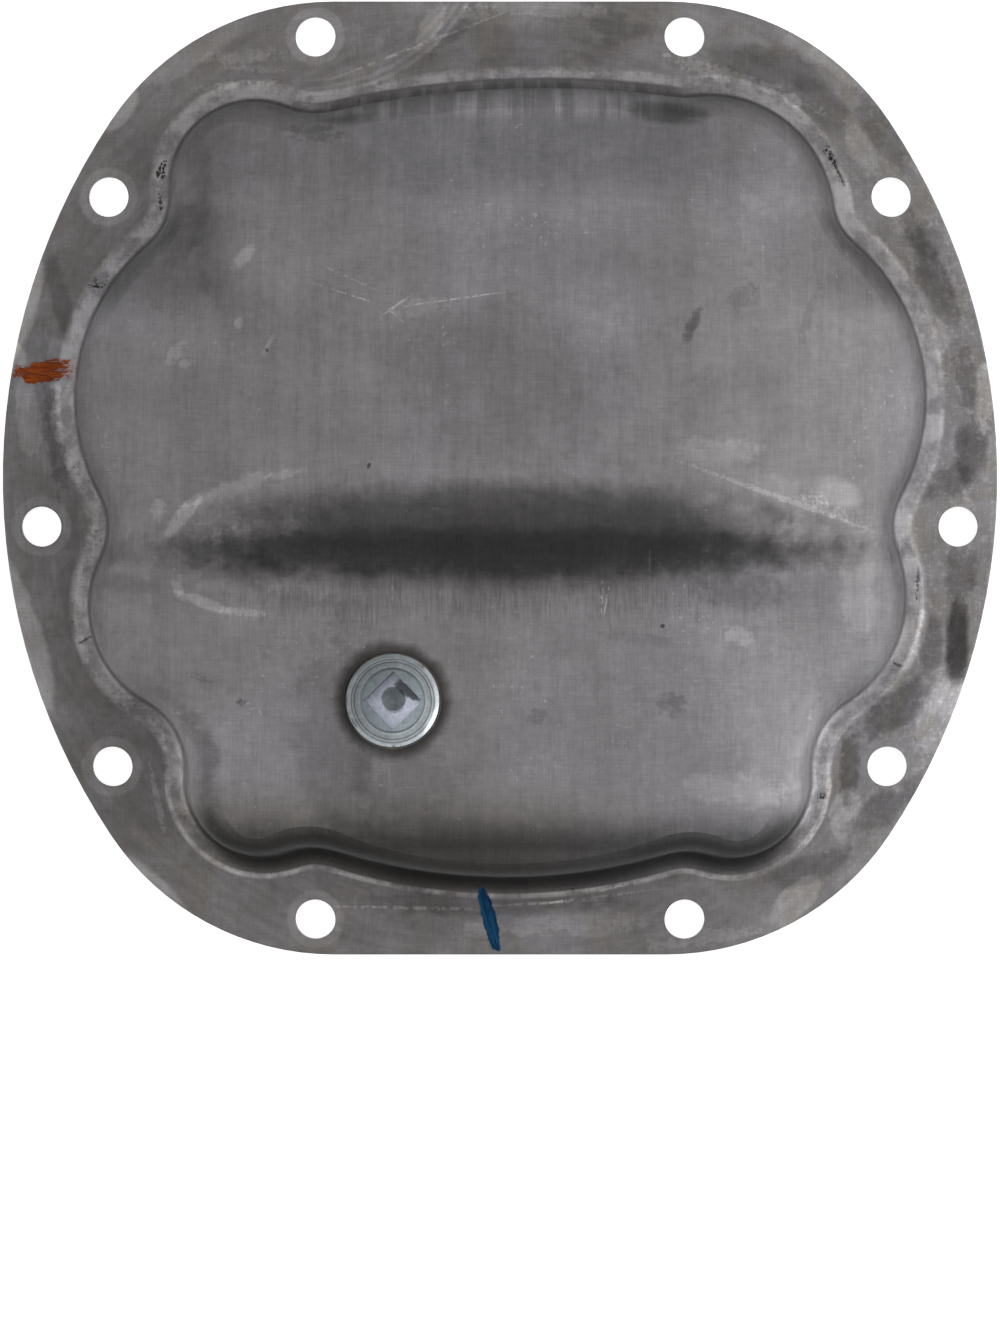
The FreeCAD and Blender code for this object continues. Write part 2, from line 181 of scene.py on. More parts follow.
# Nicks and cracks in the fold
FOLD_NICKS = [
    (-81, 74, 1.68, 0.53, 58, -2.8, 1.2),
    (-80.5, 72.3, 0.53, 0.48, 0, -2.4, 1.2),
    (-96.1, 46, 1.2, 0.41, 8, -2.6, 1.2),
    (-97, 47.2, 0.48, 0.72, 20, -1.4, 1.2),
    (-81.2, 65.8, 1.56, 0.31, 100, -2, 0.8),
    (79.4, 77.3, 1.68, 0.72, -60, -2.8, 1.2),
    (80.8, 73.7, 3.35, 0.36, -65, -1.8, 0.6),
    (77.9, -76.4, 1.05, 0.62, 0, -2.2, 0.9),
    (-95.4, -33.3, 3.83, 0.29, -60, -1.6, 0.5),
    (-99.4, -38.8, 3.35, 0.26, 30, -1.4, 0.5),
    (95.6, -44.8, 1.68, 0.29, -20, -1.4, 0.4),
    (100, -23.9, 3.83, 0.34, 84, -1.6, 0.8),
    (-49.6, 93.8, 1.2, 0.38, -20, -1.6, 0.9),
]
# Scratches
SCRATCHES = [
    (-10.4, 41.1, 10.34, 0.18, 8, 0.8),
    (-35.7, 42.5, 6.43, 0.18, -18, 0.7),
    (-24, 39.5, 3.22, 0.18, 35, 0.7),
    (-23.1, 36.7, 2.76, 0.16, -40, 0.6),
    (23.6, -26.6, 3.67, 0.21, 88, 1.3),
    (24.7, -28, 2.76, 0.18, 80, 1.1),
    (-21.6, -102.9, 13.88, 0.36, -1, 0.9),
    (10.7, -101.7, 10.05, 0.29, 3, 0.9),
    (22.9, -100.3, 11.97, 0.24, 7, 0.6),
    (-19.2, 103.6, 17.23, 0.29, 21, 0.7),
    (21.9, -99.3, 9.57, 0.22, 14, 0.6),
    (34.6, -19.3, 3.67, 0.18, 90, 0.8),
    (-35.7, 46.6, 6.89, 0.16, -25, 0.4),
    (-24.9, -25.7, 2.76, 0.16, 90, 0.7),
]

# What a mark's node group is given, and of what kind
MARK_INPUTS = {
    "plan": "Vector",
    "along": "Vector",
    "across": "Vector",
    "wander": "Float",
    "ragged": "Float",
    "stops": "Float",
    "before": "Float",
}
# How far a mark's ragged edge wanders, and the half widths over which it does so coarsely or finely
WANDER_REACH = 12.0
COARSE_FROM = 2.4
FINE_FROM = 0.8

# Brightness of the metals before their tones, and depth of the fine relief
STEEL_BASE = 0.27
ZINC_BASE = 0.23
RELIEF = 0.03

# Floor, in millimetres under the flange and in metres across, and how bright floor and world are
FLOOR_LEVEL = -0.6
FLOOR_SIZE = 30.0
FLOOR_GREY = 0.8
GLOW_NEAR = 0.84
GLOW_FAR = 0.16
WORLD_FILL = 0.03

# Soft lamps, all aimed at the cover: name, place and size in metres, watts
LAMPS = [
    ("left", (-1.25, -0.05, 1.10), (1.3, 1.5), 8.4),
    ("right", (1.25, 0.05, 1.10), (1.3, 1.5), 14.0),
    ("overhead", (0.10, 0.40, 1.90), (1.6, 1.1), 4.6),
    ("below", (0.0, 0.0, -1.20), (1.2, 1.2), 5.0),
]

# The photo: taken from straight above the cover's middle, with the bolts' empty place left under it
CAMERA_HEIGHT = 1.04
SENSOR_WIDTH = 36.0
PHOTO_WIDTH = 0.240
PHOTO_PIXELS = 1000
COVER_ABOVE_MIDDLE = 183.5


class Tree:
    """Short calls for shader nodes. Brightness is in stops all through, and places are in millimetres."""

    def __init__(self, tree):
        self.tree = tree

    def feed(self, socket, value):
        if hasattr(value, "is_output"):
            self.tree.links.new(value, socket)
        elif isinstance(value, tuple) and socket.type == "RGBA":
            socket.default_value = (*value, 1.0)
        else:
            socket.default_value = value

    def math(self, operation, a, b=0.0, c=0.0):
        node = self.tree.nodes.new("ShaderNodeMath")
        node.operation = operation
        for socket, value in zip(node.inputs, (a, b, c)):
            self.feed(socket, value)
        return node.outputs[0]

    def add(self, first, *others):
        for value in others:
            first = self.math("ADD", first, value)
        return first

    def mul(self, first, *others):
        for value in others:
            first = self.math("MULTIPLY", first, value)
        return first

    def sub(self, a, b):
        return self.math("SUBTRACT", a, b)

    def larger(self, a, b):
        return self.math("MAXIMUM", a, b)

    def absolute(self, a):
        return self.math("ABSOLUTE", a)

    def dot(self, a, b):
        node = self.tree.nodes.new("ShaderNodeVectorMath")
        node.operation = "DOT_PRODUCT"
        self.feed(node.inputs[0], a)
        self.feed(node.inputs[1], b)
        return node.outputs["Value"]

    def fade(self, value, start, end):
        """0 at start and 1 at end, smooth between them and level outside."""
        node = self.tree.nodes.new("ShaderNodeMapRange")
        node.interpolation_type = "SMOOTHSTEP"
        # A smooth step needs no clamp. With one, Cycles keeps every mask to the end of the pan's shader, runs
        # out of room for it and draws the pan black.
        node.clamp = False
        rising = start < end
        self.feed(node.inputs["Value"], value)
        node.inputs["From Min"].default_value = min(start, end)
        node.inputs["From Max"].default_value = max(start, end)
        node.inputs["To Min"].default_value = 0.0 if rising else 1.0
        node.inputs["To Max"].default_value = 1.0 if rising else 0.0
        return node.outputs["Result"]

    def mix_shaders(self, amount, a, b):
        node = self.tree.nodes.new("ShaderNodeMixShader")
        for socket, value in zip(node.inputs, (amount, a, b)):
            self.feed(socket, value)
        return node.outputs[0]


def mark_group(soft):
    """Node group for one mark: an ellipse with a soft, ragged edge, added to what comes before it."""
    group = bpy.data.node_groups.new("mark", "ShaderNodeTree")
    for name, kind in MARK_INPUTS.items():
        group.interface.new_socket(name, in_out="INPUT", socket_type="NodeSocket" + kind)
    group.interface.new_socket("sum", in_out="OUTPUT", socket_type="NodeSocketFloat")
    n = Tree(group)
    given = group.nodes.new("NodeGroupInput").outputs
    u = n.dot(given["plan"], given["along"])
    v = n.dot(given["plan"], given["across"])
    reach = n.math("MULTIPLY_ADD", v, v, n.mul(u, u))
    reach = n.math("MULTIPLY_ADD", given["wander"], given["ragged"], reach)
    mask = n.fade(reach, (1.0 + soft) ** 2, (1.0 - soft) ** 2)
    result = group.nodes.new("NodeGroupOutput")
    n.feed(result.inputs[0], n.math("MULTIPLY_ADD", mask, given["stops"], given["before"]))
    return group


class Nodes(Tree):
    """Short calls for building one material."""

    def __init__(self, name):
        self.material = bpy.data.materials.new(name)
        self.material.use_nodes = True
        super().__init__(self.material.node_tree)
        self.tree.nodes.clear()
        self.output = self.tree.nodes.new("ShaderNodeOutputMaterial")
        self.place = self.tree.nodes.new("ShaderNodeNewGeometry")
        # From a Mapping node, which takes the least of Cycles' room for a shader
        scaled = self.tree.nodes.new("ShaderNodeMapping")
        scaled.inputs["Scale"].default_value = (1 / MM, 1 / MM, 1 / MM)
        self.feed(scaled.inputs["Vector"], self.place.outputs["Position"])
        self.mm = scaled.outputs[0]
        self.x, self.y, self.z = self.split(self.mm)
        self.nx, self.ny, self.nz = self.split(self.place.outputs["Normal"])
        self.plan = self.vector(self.x, self.y, 1.0)
        self.wanders = []
        self.mark_groups = {}

    def split(self, vector):
        node = self.tree.nodes.new("ShaderNodeSeparateXYZ")
        self.feed(node.inputs[0], vector)
        return node.outputs

    def vector(self, *parts):
        node = self.tree.nodes.new("ShaderNodeCombineXYZ")
        for socket, value in zip(node.inputs, parts):
            self.feed(socket, value)
        return node.outputs[0]

    def stretch(self, sx, sy, sz=1.0, turn=0.0):
        """Position turned about Z and then scaled along each axis."""
        node = self.tree.nodes.new("ShaderNodeMapping")
        node.vector_type = "TEXTURE"
        node.inputs["Rotation"].default_value = (0, 0, math.radians(turn))
        node.inputs["Scale"].default_value = (sx, sy, sz)
        self.feed(node.inputs["Vector"], self.mm)
        return node.outputs[0]

    def away(self, x, y, x_value=None):
        """Distance in plan from a point."""
        dx = self.sub(x_value or self.x, x)
        dy = self.sub(self.y, y)
        return self.math("SQRT", self.add(self.mul(dx, dx), self.mul(dy, dy)))

    def around(self, across, along):
        """Radius and turn about the middle of the cover, for rubs that follow the flange."""
        radius = self.mul(self.away(0.0, 0.0), 1.0 / across)
        turn = self.mul(self.math("ARCTAN2", self.x, self.y), FLANGE_RADIUS / along)
        return self.vector(radius, turn)

    def noise(self, size, detail, rough, where=None, warp=0.0):
        """Noise of about 0 to 1 whose features are so many millimetres across."""
        node = self.tree.nodes.new("ShaderNodeTexNoise")
        node.noise_dimensions = "3D"
        node.inputs["Scale"].default_value = 1.0 / size
        node.inputs["Detail"].default_value = detail
        node.inputs["Roughness"].default_value = rough
        node.inputs["Distortion"].default_value = warp
        self.feed(node.inputs["Vector"], where or self.mm)
        return node.outputs["Fac"]

    def swing(self, noise, amount):
        """Noise made to go as far below nothing as above it."""
        return self.mul(self.sub(noise, 0.5), amount)

    def mark(self, x, y, half_x, half_y, turn=0.0, wander=0.0, ragged=0.0, soft=0.4, stops=1.0,
             before=0.0):
        """So many stops inside a turned ellipse and none outside, added to what comes before it."""
        if soft not in self.mark_groups:
            self.mark_groups[soft] = mark_group(soft)
        node = self.tree.nodes.new("ShaderNodeGroup")
        node.node_tree = self.mark_groups[soft]
        c, s = math.cos(math.radians(turn)), math.sin(math.radians(turn))
        given = {
            "plan": self.plan,
            "along": (c / half_x, s / half_x, -(x * c + y * s) / half_x),
            "across": (-s / half_y, c / half_y, (x * s - y * c) / half_y),
            "wander": wander,
            "ragged": ragged,
            "stops": stops,
            "before": before,
        }
        for name, value in given.items():
            self.feed(node.inputs[name], value)
        return node.outputs[0]

    def marks(self, rows, soft=0.4):
        """Sum of many marks."""
        if not self.wanders:
            self.wanders = [
                self.swing(self.noise(7.0, 4.0, 0.68), 1.0),
                self.swing(self.noise(1.8, 2.0, 0.65), 1.0),
                self.swing(self.noise(0.8, 1.0, 0.65), 1.0),
            ]
        coarse, fine, tiny = self.wanders
        total = 0.0
        for x, y, half_x, half_y, turn, stops, *ragged in rows:
            wander = coarse if half_y > COARSE_FROM else fine if half_y > FINE_FROM else tiny
            reach = WANDER_REACH * sum(ragged)
            total = self.mark(x, y, half_x, half_y, turn, wander, reach, soft, stops, total)
        return total

    def mix(self, amount, a, b):
        node = self.tree.nodes.new("ShaderNodeMix")
        node.data_type = "RGBA"
        self.feed(node.inputs["Factor"], amount)
        self.feed(node.inputs["A"], a)
        self.feed(node.inputs["B"], b)
        return node.outputs["Result"]

    def toned(self, tint, base, tone):
        """Tint times a base brightness, brightened by a tone in stops."""
        node = self.tree.nodes.new("ShaderNodeVectorMath")
        node.operation = "SCALE"
        self.feed(node.inputs[0], tint)
        self.feed(node.inputs["Scale"], self.mul(self.math("POWER", 2.0, tone), base))
        return node.outputs[0]

    def bumpy(self, height):
        node = self.tree.nodes.new("ShaderNodeBump")
        node.inputs["Strength"].default_value = 1.0
        node.inputs["Distance"].default_value = RELIEF * MM
        self.feed(node.inputs["Height"], height)
        return node.outputs[0]

    def shader(self, color, metallic, roughness, normal, specular=0.5):
        node = self.tree.nodes.new("ShaderNodeBsdfPrincipled")
        self.feed(node.inputs["Base Color"], color)
        self.feed(node.inputs["Metallic"], metallic)
        self.feed(node.inputs["Roughness"], roughness)
        self.feed(node.inputs["Normal"], normal)
        self.feed(node.inputs["Specular IOR Level"], specular)
        return node.outputs[0]

    def finish(self, surface):
        self.feed(self.output.inputs["Surface"], surface)
        return self.material


class PanNodes(Nodes):
    """The pan's places as masks from 0 to 1, and how bright each place is, in stops."""

    def __init__(self, name):
        super().__init__(name)
        self.height_up = self.sub(self.z, FLANGE_TOP)
        self.side_x = self.absolute(self.x)
        self.side_y = self.absolute(self.y)
        self.on_flange = self.fade(self.height_up, 0.35, 0.05)
        self.on_fold = self.mul(self.fade(self.height_up, 0.0, 0.08), self.fade(self.height_up, 3.3, 2.3))
        self.on_dome = self.mul(self.fade(self.nz, 0.45, 0.85), self.fade(self.z, 12.0, 20.0))
        self.outside = self.fade(self.nz, 0.0, 0.3)
        self.steep = self.fade(self.absolute(self.nz), 0.88, 0.30)
        self.dome_foot = self.mul(
            self.fade(self.y, -68.0, -80.0), self.fade(self.x, 45.0, -5.0), self.fade(self.nz, 0.3, 0.6))
        self.cloud = self.noise(60.0, 2.0, 0.5)
        self.blotch = self.noise(14.0, 4.0, 0.6)
        self.mottle = self.noise(18.0, 5.0, 0.65, warp=1.2)
        self.down = self.noise(1.0, 3.0, 0.6, self.stretch(0.26, 6.5, 14.0))
        self.across = self.noise(1.0, 2.0, 0.6, self.stretch(5.5, 0.30, 11.0))
        self.wide = self.noise(1.0, 2.0, 0.5, self.stretch(2.2, 55.0, 55.0))

    def grain(self):
        """Cloudy steel with drawn grain down the pressing and a fainter weave across it."""
        wide = self.mul(self.swing(self.wide, 0.4), self.add(self.on_dome, self.steep))
        fine = self.noise(2.4, 3.0, 0.65)
        return self.add(
            self.swing(self.cloud, 0.9), self.swing(self.blotch, 0.8), self.swing(fine, 0.6),
            self.swing(self.down, 0.7), self.swing(self.across, 0.5), wide)

    def scratches(self):
        worn = self.fade(self.noise(1.6, 2.0, 0.7), 0.40, 0.56)
        return self.mul(self.marks(SCRATCHES, 0.7), worn, self.outside)

    def fold(self):
        """Burnished by the die, broken by cracks and specks, with painted shade where it turns under the
        walls at the top and bottom, a painted highlight toward its inner side and a painted highlight line
        along its lower foot.
        """
        up = self.height_up
        broken = self.fade(self.noise(6.4, 4.0, 0.7), 0.34, 0.60)
        # The last term is a painted highlight toward the fold's inner side.
        tone = self.add(-0.05, self.mul(broken, 0.8), self.mul(self.fade(up, 0.6, 2.4), 0.45))
        # Painted shade where the fold turns under the top and bottom walls.
        top = self.mul(self.fade(self.y, 82.0, 90.0), self.fade(self.side_x, 54.0, 36.0))
        under = self.mul(self.fade(self.y, -76.0, -86.0), self.fade(self.side_x, 74.0, 58.0))
        fold_turn_shade = self.larger(self.mul(top, self.fade(up, 0.7, 1.2)), self.mul(under, self.fade(up, 0.18, 0.40)))
        tone = self.sub(self.mul(tone, self.sub(1.0, fold_turn_shade)), self.mul(fold_turn_shade, 0.7))
        speck = self.fade(self.noise(1.0, 2.0, 0.7), 0.38, 0.26)
        cluster = self.fade(self.noise(22.0, 2.0, 0.5), 0.45, 0.62)
        tone = self.sub(tone, self.mul(speck, cluster, 1.6))
        # A painted highlight line along the fold's foot at the bottom, broken up by blotches.
        lip_highlight = self.mul(self.fade(up, 0.02, 0.06), self.fade(up, 0.32, 0.20))
        lip_highlight = self.mul(lip_highlight, self.fade(self.y, -58.0, -72.0), self.fade(self.blotch, 0.35, 0.5))
        return self.add(self.mul(tone, self.on_fold), self.mul(lip_highlight, 0.5))

    def fold_nicks(self):
        return self.mul(self.marks(FOLD_NICKS), self.fade(self.height_up, 3.5, 2.0))

    def dome(self):
        """Marks and flecks, painted light and shade above the bend, painted light on the right side and
        painted highlights on the trough's rims.
        """
        # Painted light and shade above the bend: a little lighter to the left, darker far to the left.
        left = self.mul(self.fade(self.x, -10.0, -50.0), 0.1)
        far_left = self.mul(self.fade(self.x, -56.0, -70.0), -0.3)
        above_bend = self.mul(self.fade(self.y, 33.0, 50.0), self.add(0.02, left, far_left))
        # Painted light on the dome's right side.
        right = self.mul(self.fade(self.x, 38.0, 66.0), 0.3)
        fleck = self.fade(self.noise(1.1, 1.0, 0.5), 0.68, 0.74)
        fleck = self.mul(fleck, self.fade(self.noise(25.0, 2.0, 0.5), 0.50, 0.62), 0.5)
        marks = self.add(self.marks(DOME_PALE), self.marks(DOME_DARK, 0.6), self.marks(TROUGH_RIM_HIGHLIGHTS))
        return self.mul(self.add(above_bend, right, fleck, marks), self.on_dome)

    def trough(self):
        """Painted shade in the hollow, running out to its ends, darkest along the floor and spreading over
        its lower bank, under frosty draw marks.
        """
        wander = self.swing(self.noise(5.0, 3.0, 0.6), 1.0)
        # Three marks of painted shade: the hollow, its floor and its lower bank.
        dark = self.mark(1.0, -13.4, 60.0, 10.4, 0.0, wander, 1.2, 0.42, -1.42)
        dark = self.mark(-0.5, -17.2, 76.0, 4.8, 0.0, wander, 2.2, 0.45, -0.75, dark)
        dark = self.mark(-6.0, -25.0, 76.0, 4.6, 0.0, wander, 2.5, 0.6, -0.22, dark)
        y = self.add(self.y, self.swing(self.noise(7.6, 3.0, 0.68), 12.0))
        frosted = self.mul(self.fade(y, -23.0, -26.0), self.fade(y, -35.0, -31.5))
        frosted = self.mul(frosted, self.fade(self.absolute(self.add(self.x, 4.0)), 72.0, 44.0))
        streak = self.fade(self.noise(1.0, 3.0, 0.6, self.stretch(0.5, 6.0, 6.0)), 0.32, 0.60)
        return self.add(dark, self.mul(frosted, self.add(self.mul(streak, 0.35), -0.25)))

    def walls(self):
        """Streaked, with painted shade on the steep walls, more of it on the bottom wall, in the upper
        corners and on the shoulders, painted light on the lower sides, a band of painted light over painted
        shade low at the bottom, and darker under the dome's foot.
        """
        up = self.height_up
        side_nx, side_ny = self.absolute(self.nx), self.absolute(self.ny)
        streak = self.noise(1.0, 3.0, 0.65, self.stretch(0.9, 6.0, 30.0))
        # Painted shade on the steep walls, broken by streaks.
        tone = self.mul(self.steep, self.add(-1.05, self.mul(streak, 1.1)))
        # Painted shade on the bottom wall.
        lower = self.mul(self.fade(self.ny, -0.25, -0.80), self.fade(self.y, -70.0, -84.0))
        lower = self.mul(lower, self.fade(up, 0.35, 0.8))
        comb = self.mul(self.fade(self.y, 82.0, 86.0), self.fade(self.side_x, 50.0, 30.0))
        comb = self.mul(comb, self.fade(up, 1.0, 2.0), self.fade(self.wide, 0.42, 0.62))
        # Painted light on the lower side walls.
        lower_sides = self.mul(self.fade(side_nx, 0.32, 0.80), self.fade(self.y, -25.0, -55.0))
        lower_sides = self.mul(lower_sides, self.fade(self.z, 3.0, 5.0))
        # Painted shade on the upper side walls, in the upper corners.
        upper_sides = self.mul(self.fade(self.y, 36.0, 46.0), self.fade(self.y, 66.0, 58.0))
        upper_sides = self.mul(upper_sides, self.fade(side_nx, 0.2, 0.6), self.fade(up, 2.0, 5.0))
        # Painted shade on the shoulders, top and bottom.
        shoulders = self.mul(self.fade(side_ny, 0.12, 0.50), self.fade(self.side_y, 62.0, 74.0))
        shoulders = self.mul(shoulders, self.add(0.6, self.mul(self.fade(self.y, 0.0, -10.0), 0.4)))
        shoulders = self.mul(shoulders, self.fade(up, 2.0, 4.0))
        # A band of painted light on the bottom wall, with painted shade under it.
        skirt = self.mark(0.0, -89.5, 36.0, 3.4, stops=0.55)
        skirt = self.mark(0.0, -96.0, 38.0, 2.4, stops=-0.35, before=skirt)
        return self.add(
            tone, skirt, self.mul(lower, -1.6), self.mul(self.dome_foot, -0.42), self.mul(comb, 0.55),
            self.mul(lower_sides, 0.75), self.mul(upper_sides, -0.85), self.mul(shoulders, -1.0))

    def heat_and_shade_mark(self):
        """Where the weld of the bung burnt the dome round the plug, and painted shade round the plug's head,
        as a mask.
        """
        reach = self.add(self.away(*PLUG_CENTRE), self.swing(self.noise(6.0, 3.0, 0.6), 3.0))
        return self.mul(self.fade(reach, 14.8, 10.8), self.on_dome)

    def flange(self):
        """Darker than the dome, mottled, lighter to the right and where hands and sealant wore it."""
        rub = self.noise(1.0, 3.0, 0.65, self.around(2.4, 18.0))
        right = self.mul(self.fade(self.x, 20.0, 110.0), 0.60)
        speckle = self.fade(self.noise(1.5, 2.0, 0.7), 0.52, 0.66)
        speckle = self.mul(speckle, self.fade(self.x, 60.0, 105.0), 0.35)
        tone = self.add(-0.25, right, self.swing(self.mottle, 1.1), self.swing(rub, 0.9), speckle)
        tone = self.add(tone, self.marks(FLANGE_PALE, 0.18), self.marks(FLANGE_DARK, 0.35))
        return self.mul(self.add(tone, self.wipe(), self.bolt_rings()), self.outside)

    def wipe(self):
        """The arc of a rag's strokes across the top of the flange."""
        streaks = self.noise(1.0, 3.0, 0.6, self.stretch(3.0, 3.0))
        sweep = self.add(self.away(-46.5, 136.4), self.swing(streaks, 1.2))
        band = self.mul(self.fade(sweep, 37.5, 44.0), self.fade(sweep, 45.6, 45.1))
        band = self.mul(band, self.fade(self.x, -54.0, -38.0))
        strokes = self.math("SINE", self.mul(sweep, 3.4))
        return self.mul(band, self.add(1.0, self.mul(strokes, 0.5)), 0.34)

    def bolt_rings(self):
        """Light rings that the bolt heads left, clearest on the left."""
        tone = 0.0
        for x, y in BOLT_HOLES:
            reach = self.add(self.away(x, y, self.side_x), self.swing(self.blotch, 1.6))
            tone = self.add(tone, self.mul(self.fade(reach, 4.6, 5.2), self.fade(reach, 7.4, 6.6)))
        return self.mul(tone, self.fade(self.x, 60.0, -10.0), 0.38)

    def paints(self):
        """Marking paint, mask and colour: an orange dab on the left, a blue stroke under the lower edge."""
        ragged = self.swing(self.noise(3.0, 4.0, 0.65), 1.0)
        brush = self.noise(1.0, 3.0, 0.7, self.stretch(5.0, 0.5, 5.0))
        bare = self.add(0.30, self.mul(self.fade(self.x, -106.0, -101.0), 0.16))
        dab = self.mark(-108.9, 25.5, 7.4, 2.6, 5.0, ragged, 3.4, 0.1)
        dab = self.mul(dab, self.fade(self.sub(brush, bare), 0.0, 0.10))
        orange = self.mix(self.fade(brush, 0.35, 0.65), (0.20, 0.034, 0.006), (0.50, 0.11, 0.02))
        brush = self.noise(1.0, 3.0, 0.7, self.stretch(0.5, 6.0, 5.0, 14.0))
        stroke = self.mark(-2.6, -105.4, 1.75, 7.9, 14.0, ragged, 2.0, 0.1)
        blue = self.mix(self.fade(brush, 0.35, 0.65), (0.004, 0.026, 0.085), (0.012, 0.09, 0.19))
        return [(dab, orange), (stroke, blue)]

    def relief(self):
        fine = self.noise(0.9, 1.0, 0.6)
        return self.add(self.mul(self.down, 0.35), self.mul(self.across, 0.2), self.mul(fine, 0.45))


def pressed_steel():
    n = PanNodes("pressed_steel")
    shared = n.add(n.grain(), n.fold(), n.scratches())
    heat_and_shade = n.heat_and_shade_mark()
    # The mask round the plug darkens the dome for the weld's burn and for painted shade round the plug's
    # head.
    dome_tone = n.add(shared, n.dome(), n.trough(), n.walls(), n.fold_nicks(), n.mul(heat_and_shade, -2.2))
    flange_tone = n.add(shared, n.flange())

    grey = n.mix(n.fade(n.cloud, 0.35, 0.65), (1.0, 0.955, 0.965), (0.99, 0.96, 0.995))
    brown = (1.0, 0.945, 0.905)
    dome_grey = n.mix(n.larger(heat_and_shade, n.dome_foot), grey, brown)
    flange_grey = n.mix(n.fade(n.mottle, 0.55, 0.40), grey, brown)

    paints = n.paints()
    bare_metal = n.sub(1.0, n.larger(*(mask for mask, _ in paints)))
    rough = n.add(0.50, n.swing(n.blotch, 0.16), n.mul(n.on_fold, -0.08))
    normal = n.bumpy(n.relief())

    # Dome and flange are two shaders, so that each place works out only the marks of its own side
    sides = []
    for side_grey, tone in ((dome_grey, dome_tone), (flange_grey, flange_tone)):
        color = n.toned(side_grey, STEEL_BASE, tone)
        for mask, paint in paints:
            color = n.mix(mask, color, paint)
        sides.append(n.shader(color, n.mul(bare_metal, 0.12), rough, normal, 0.06))
    return n.finish(n.mix_shaders(n.on_flange, *sides))


def plug_thread(n, reach):
    """The thread on the plug's side, where it stands out of the dome, as a wave along the plug's axis."""
    along = n.math("MULTIPLY_ADD", n.z, PLUG_AXIS.z, -PLUG_ON_DOME.dot(PLUG_AXIS))
    along = n.math("MULTIPLY_ADD", n.y, PLUG_AXIS.y, n.math("MULTIPLY_ADD", n.x, PLUG_AXIS.x, along))
    side = n.mul(n.fade(n.nz, 0.6, 0.3), n.fade(reach, 9.9, 10.3))
    return n.mul(n.math("SINE", n.mul(along, 2 * math.pi / THREAD_PITCH)), side)


def zinc_plate():
    n = Nodes("zinc_plate")
    mottled = n.noise(1.4, 4.0, 0.65)
    patchy = n.noise(4.0, 3.0, 0.6)
    reach = n.away(*PLUG_CENTRE)

    # Turned rings on the face, painted shade on the shelf in the recess, painted light on the floor of the
    # square and on the recess wall, and a painted highlight on the rim
    rings = n.add(n.mul(n.fade(reach, 9.75, 9.60), n.fade(reach, 9.30, 9.45)),
                  n.mul(n.fade(reach, 9.05, 8.95), n.fade(reach, 8.70, 8.80)))
    face = n.mul(n.fade(reach, 9.3, 9.1), n.fade(reach, 7.4, 8.2))
    deep = n.fade(n.z, 37.5, 36.0)
    shelf = n.mul(n.fade(reach, 7.5, 7.1), n.sub(1.0, deep))
    dimple = n.mul(n.fade(reach, 3.0, 2.6), deep)
    rim = n.mul(n.fade(reach, 9.7, 10.0), n.fade(n.nz, 0.1, 0.4))
    recess_wall = n.mul(n.fade(n.nz, 0.98, 0.90), n.fade(n.absolute(n.sub(reach, 7.4)), 0.9, 0.6))
    tone = n.add(n.swing(mottled, 1.1), n.swing(patchy, 0.9), n.swing(n.noise(0.55, 4.0, 0.7), 1.1))
    # The shelf's darkening is painted shade, and the rim's lightening a painted highlight.
    tone = n.add(tone, n.mul(rings, -1.1), n.mul(face, -0.50), n.mul(shelf, -0.45), n.mul(rim, 1.4))
    # The lightening of the square's floor and of the recess wall is painted light.
    tone = n.add(tone, n.mul(deep, 0.50), n.mul(dimple, -0.60), n.mul(recess_wall, 1.1))

    # A dark smudge in the square, a painted glint on the right of the rim, wear at its edge and painted light
    # that grows toward the lower right
    wander = n.swing(mottled, 1.0)
    smudge = n.mark(-21.6, -49.3, 2.9, 1.1, -38.0, wander, 4.0, stops=-2.4)
    glint = n.mark(-15.7, -56.0, 3.6, 0.75, 63.0, wander, 3.0, 0.5, 1.2)
    painted_light_right = n.mul(n.sub(n.x, PLUG_CENTRE[0]), 0.055)
    painted_light_low = n.mul(n.sub(n.y, PLUG_CENTRE[1]), -0.045)
    edge_wear = n.mul(n.fade(reach, 9.9, 10.3), n.fade(patchy, 0.42, 0.30), -1.2)
    tone = n.add(tone, n.mul(smudge, deep), glint, painted_light_right, painted_light_low, edge_wear)

    tint = n.mix(deep, (0.87, 0.95, 1.0), (0.86, 0.90, 1.06))
    tint = n.mix(n.larger(shelf, dimple), tint, (0.80, 0.93, 1.0))
    lit = n.larger(n.larger(rim, recess_wall), dimple)
    metallic = n.sub(0.85, n.mul(lit, 0.5))
    rough = n.add(0.28, n.mul(n.add(mottled, lit), 0.14))
    relief = n.add(mottled, n.mul(plug_thread(n, reach), 12.0))
    return n.finish(n.shader(n.toned(tint, ZINC_BASE, tone), metallic, rough, n.bumpy(relief)))


def bung_steel():
    n = Nodes("bung_steel")
    mottled = n.noise(3.0, 4.0, 0.6)
    color = n.mix(mottled, (0.12, 0.11, 0.10), (0.30, 0.29, 0.27))
    return n.finish(n.shader(color, 0.8, 0.45, n.bumpy(mottled)))


def dress(piece, material):
    piece.data.materials.clear()
    piece.data.materials.append(material)


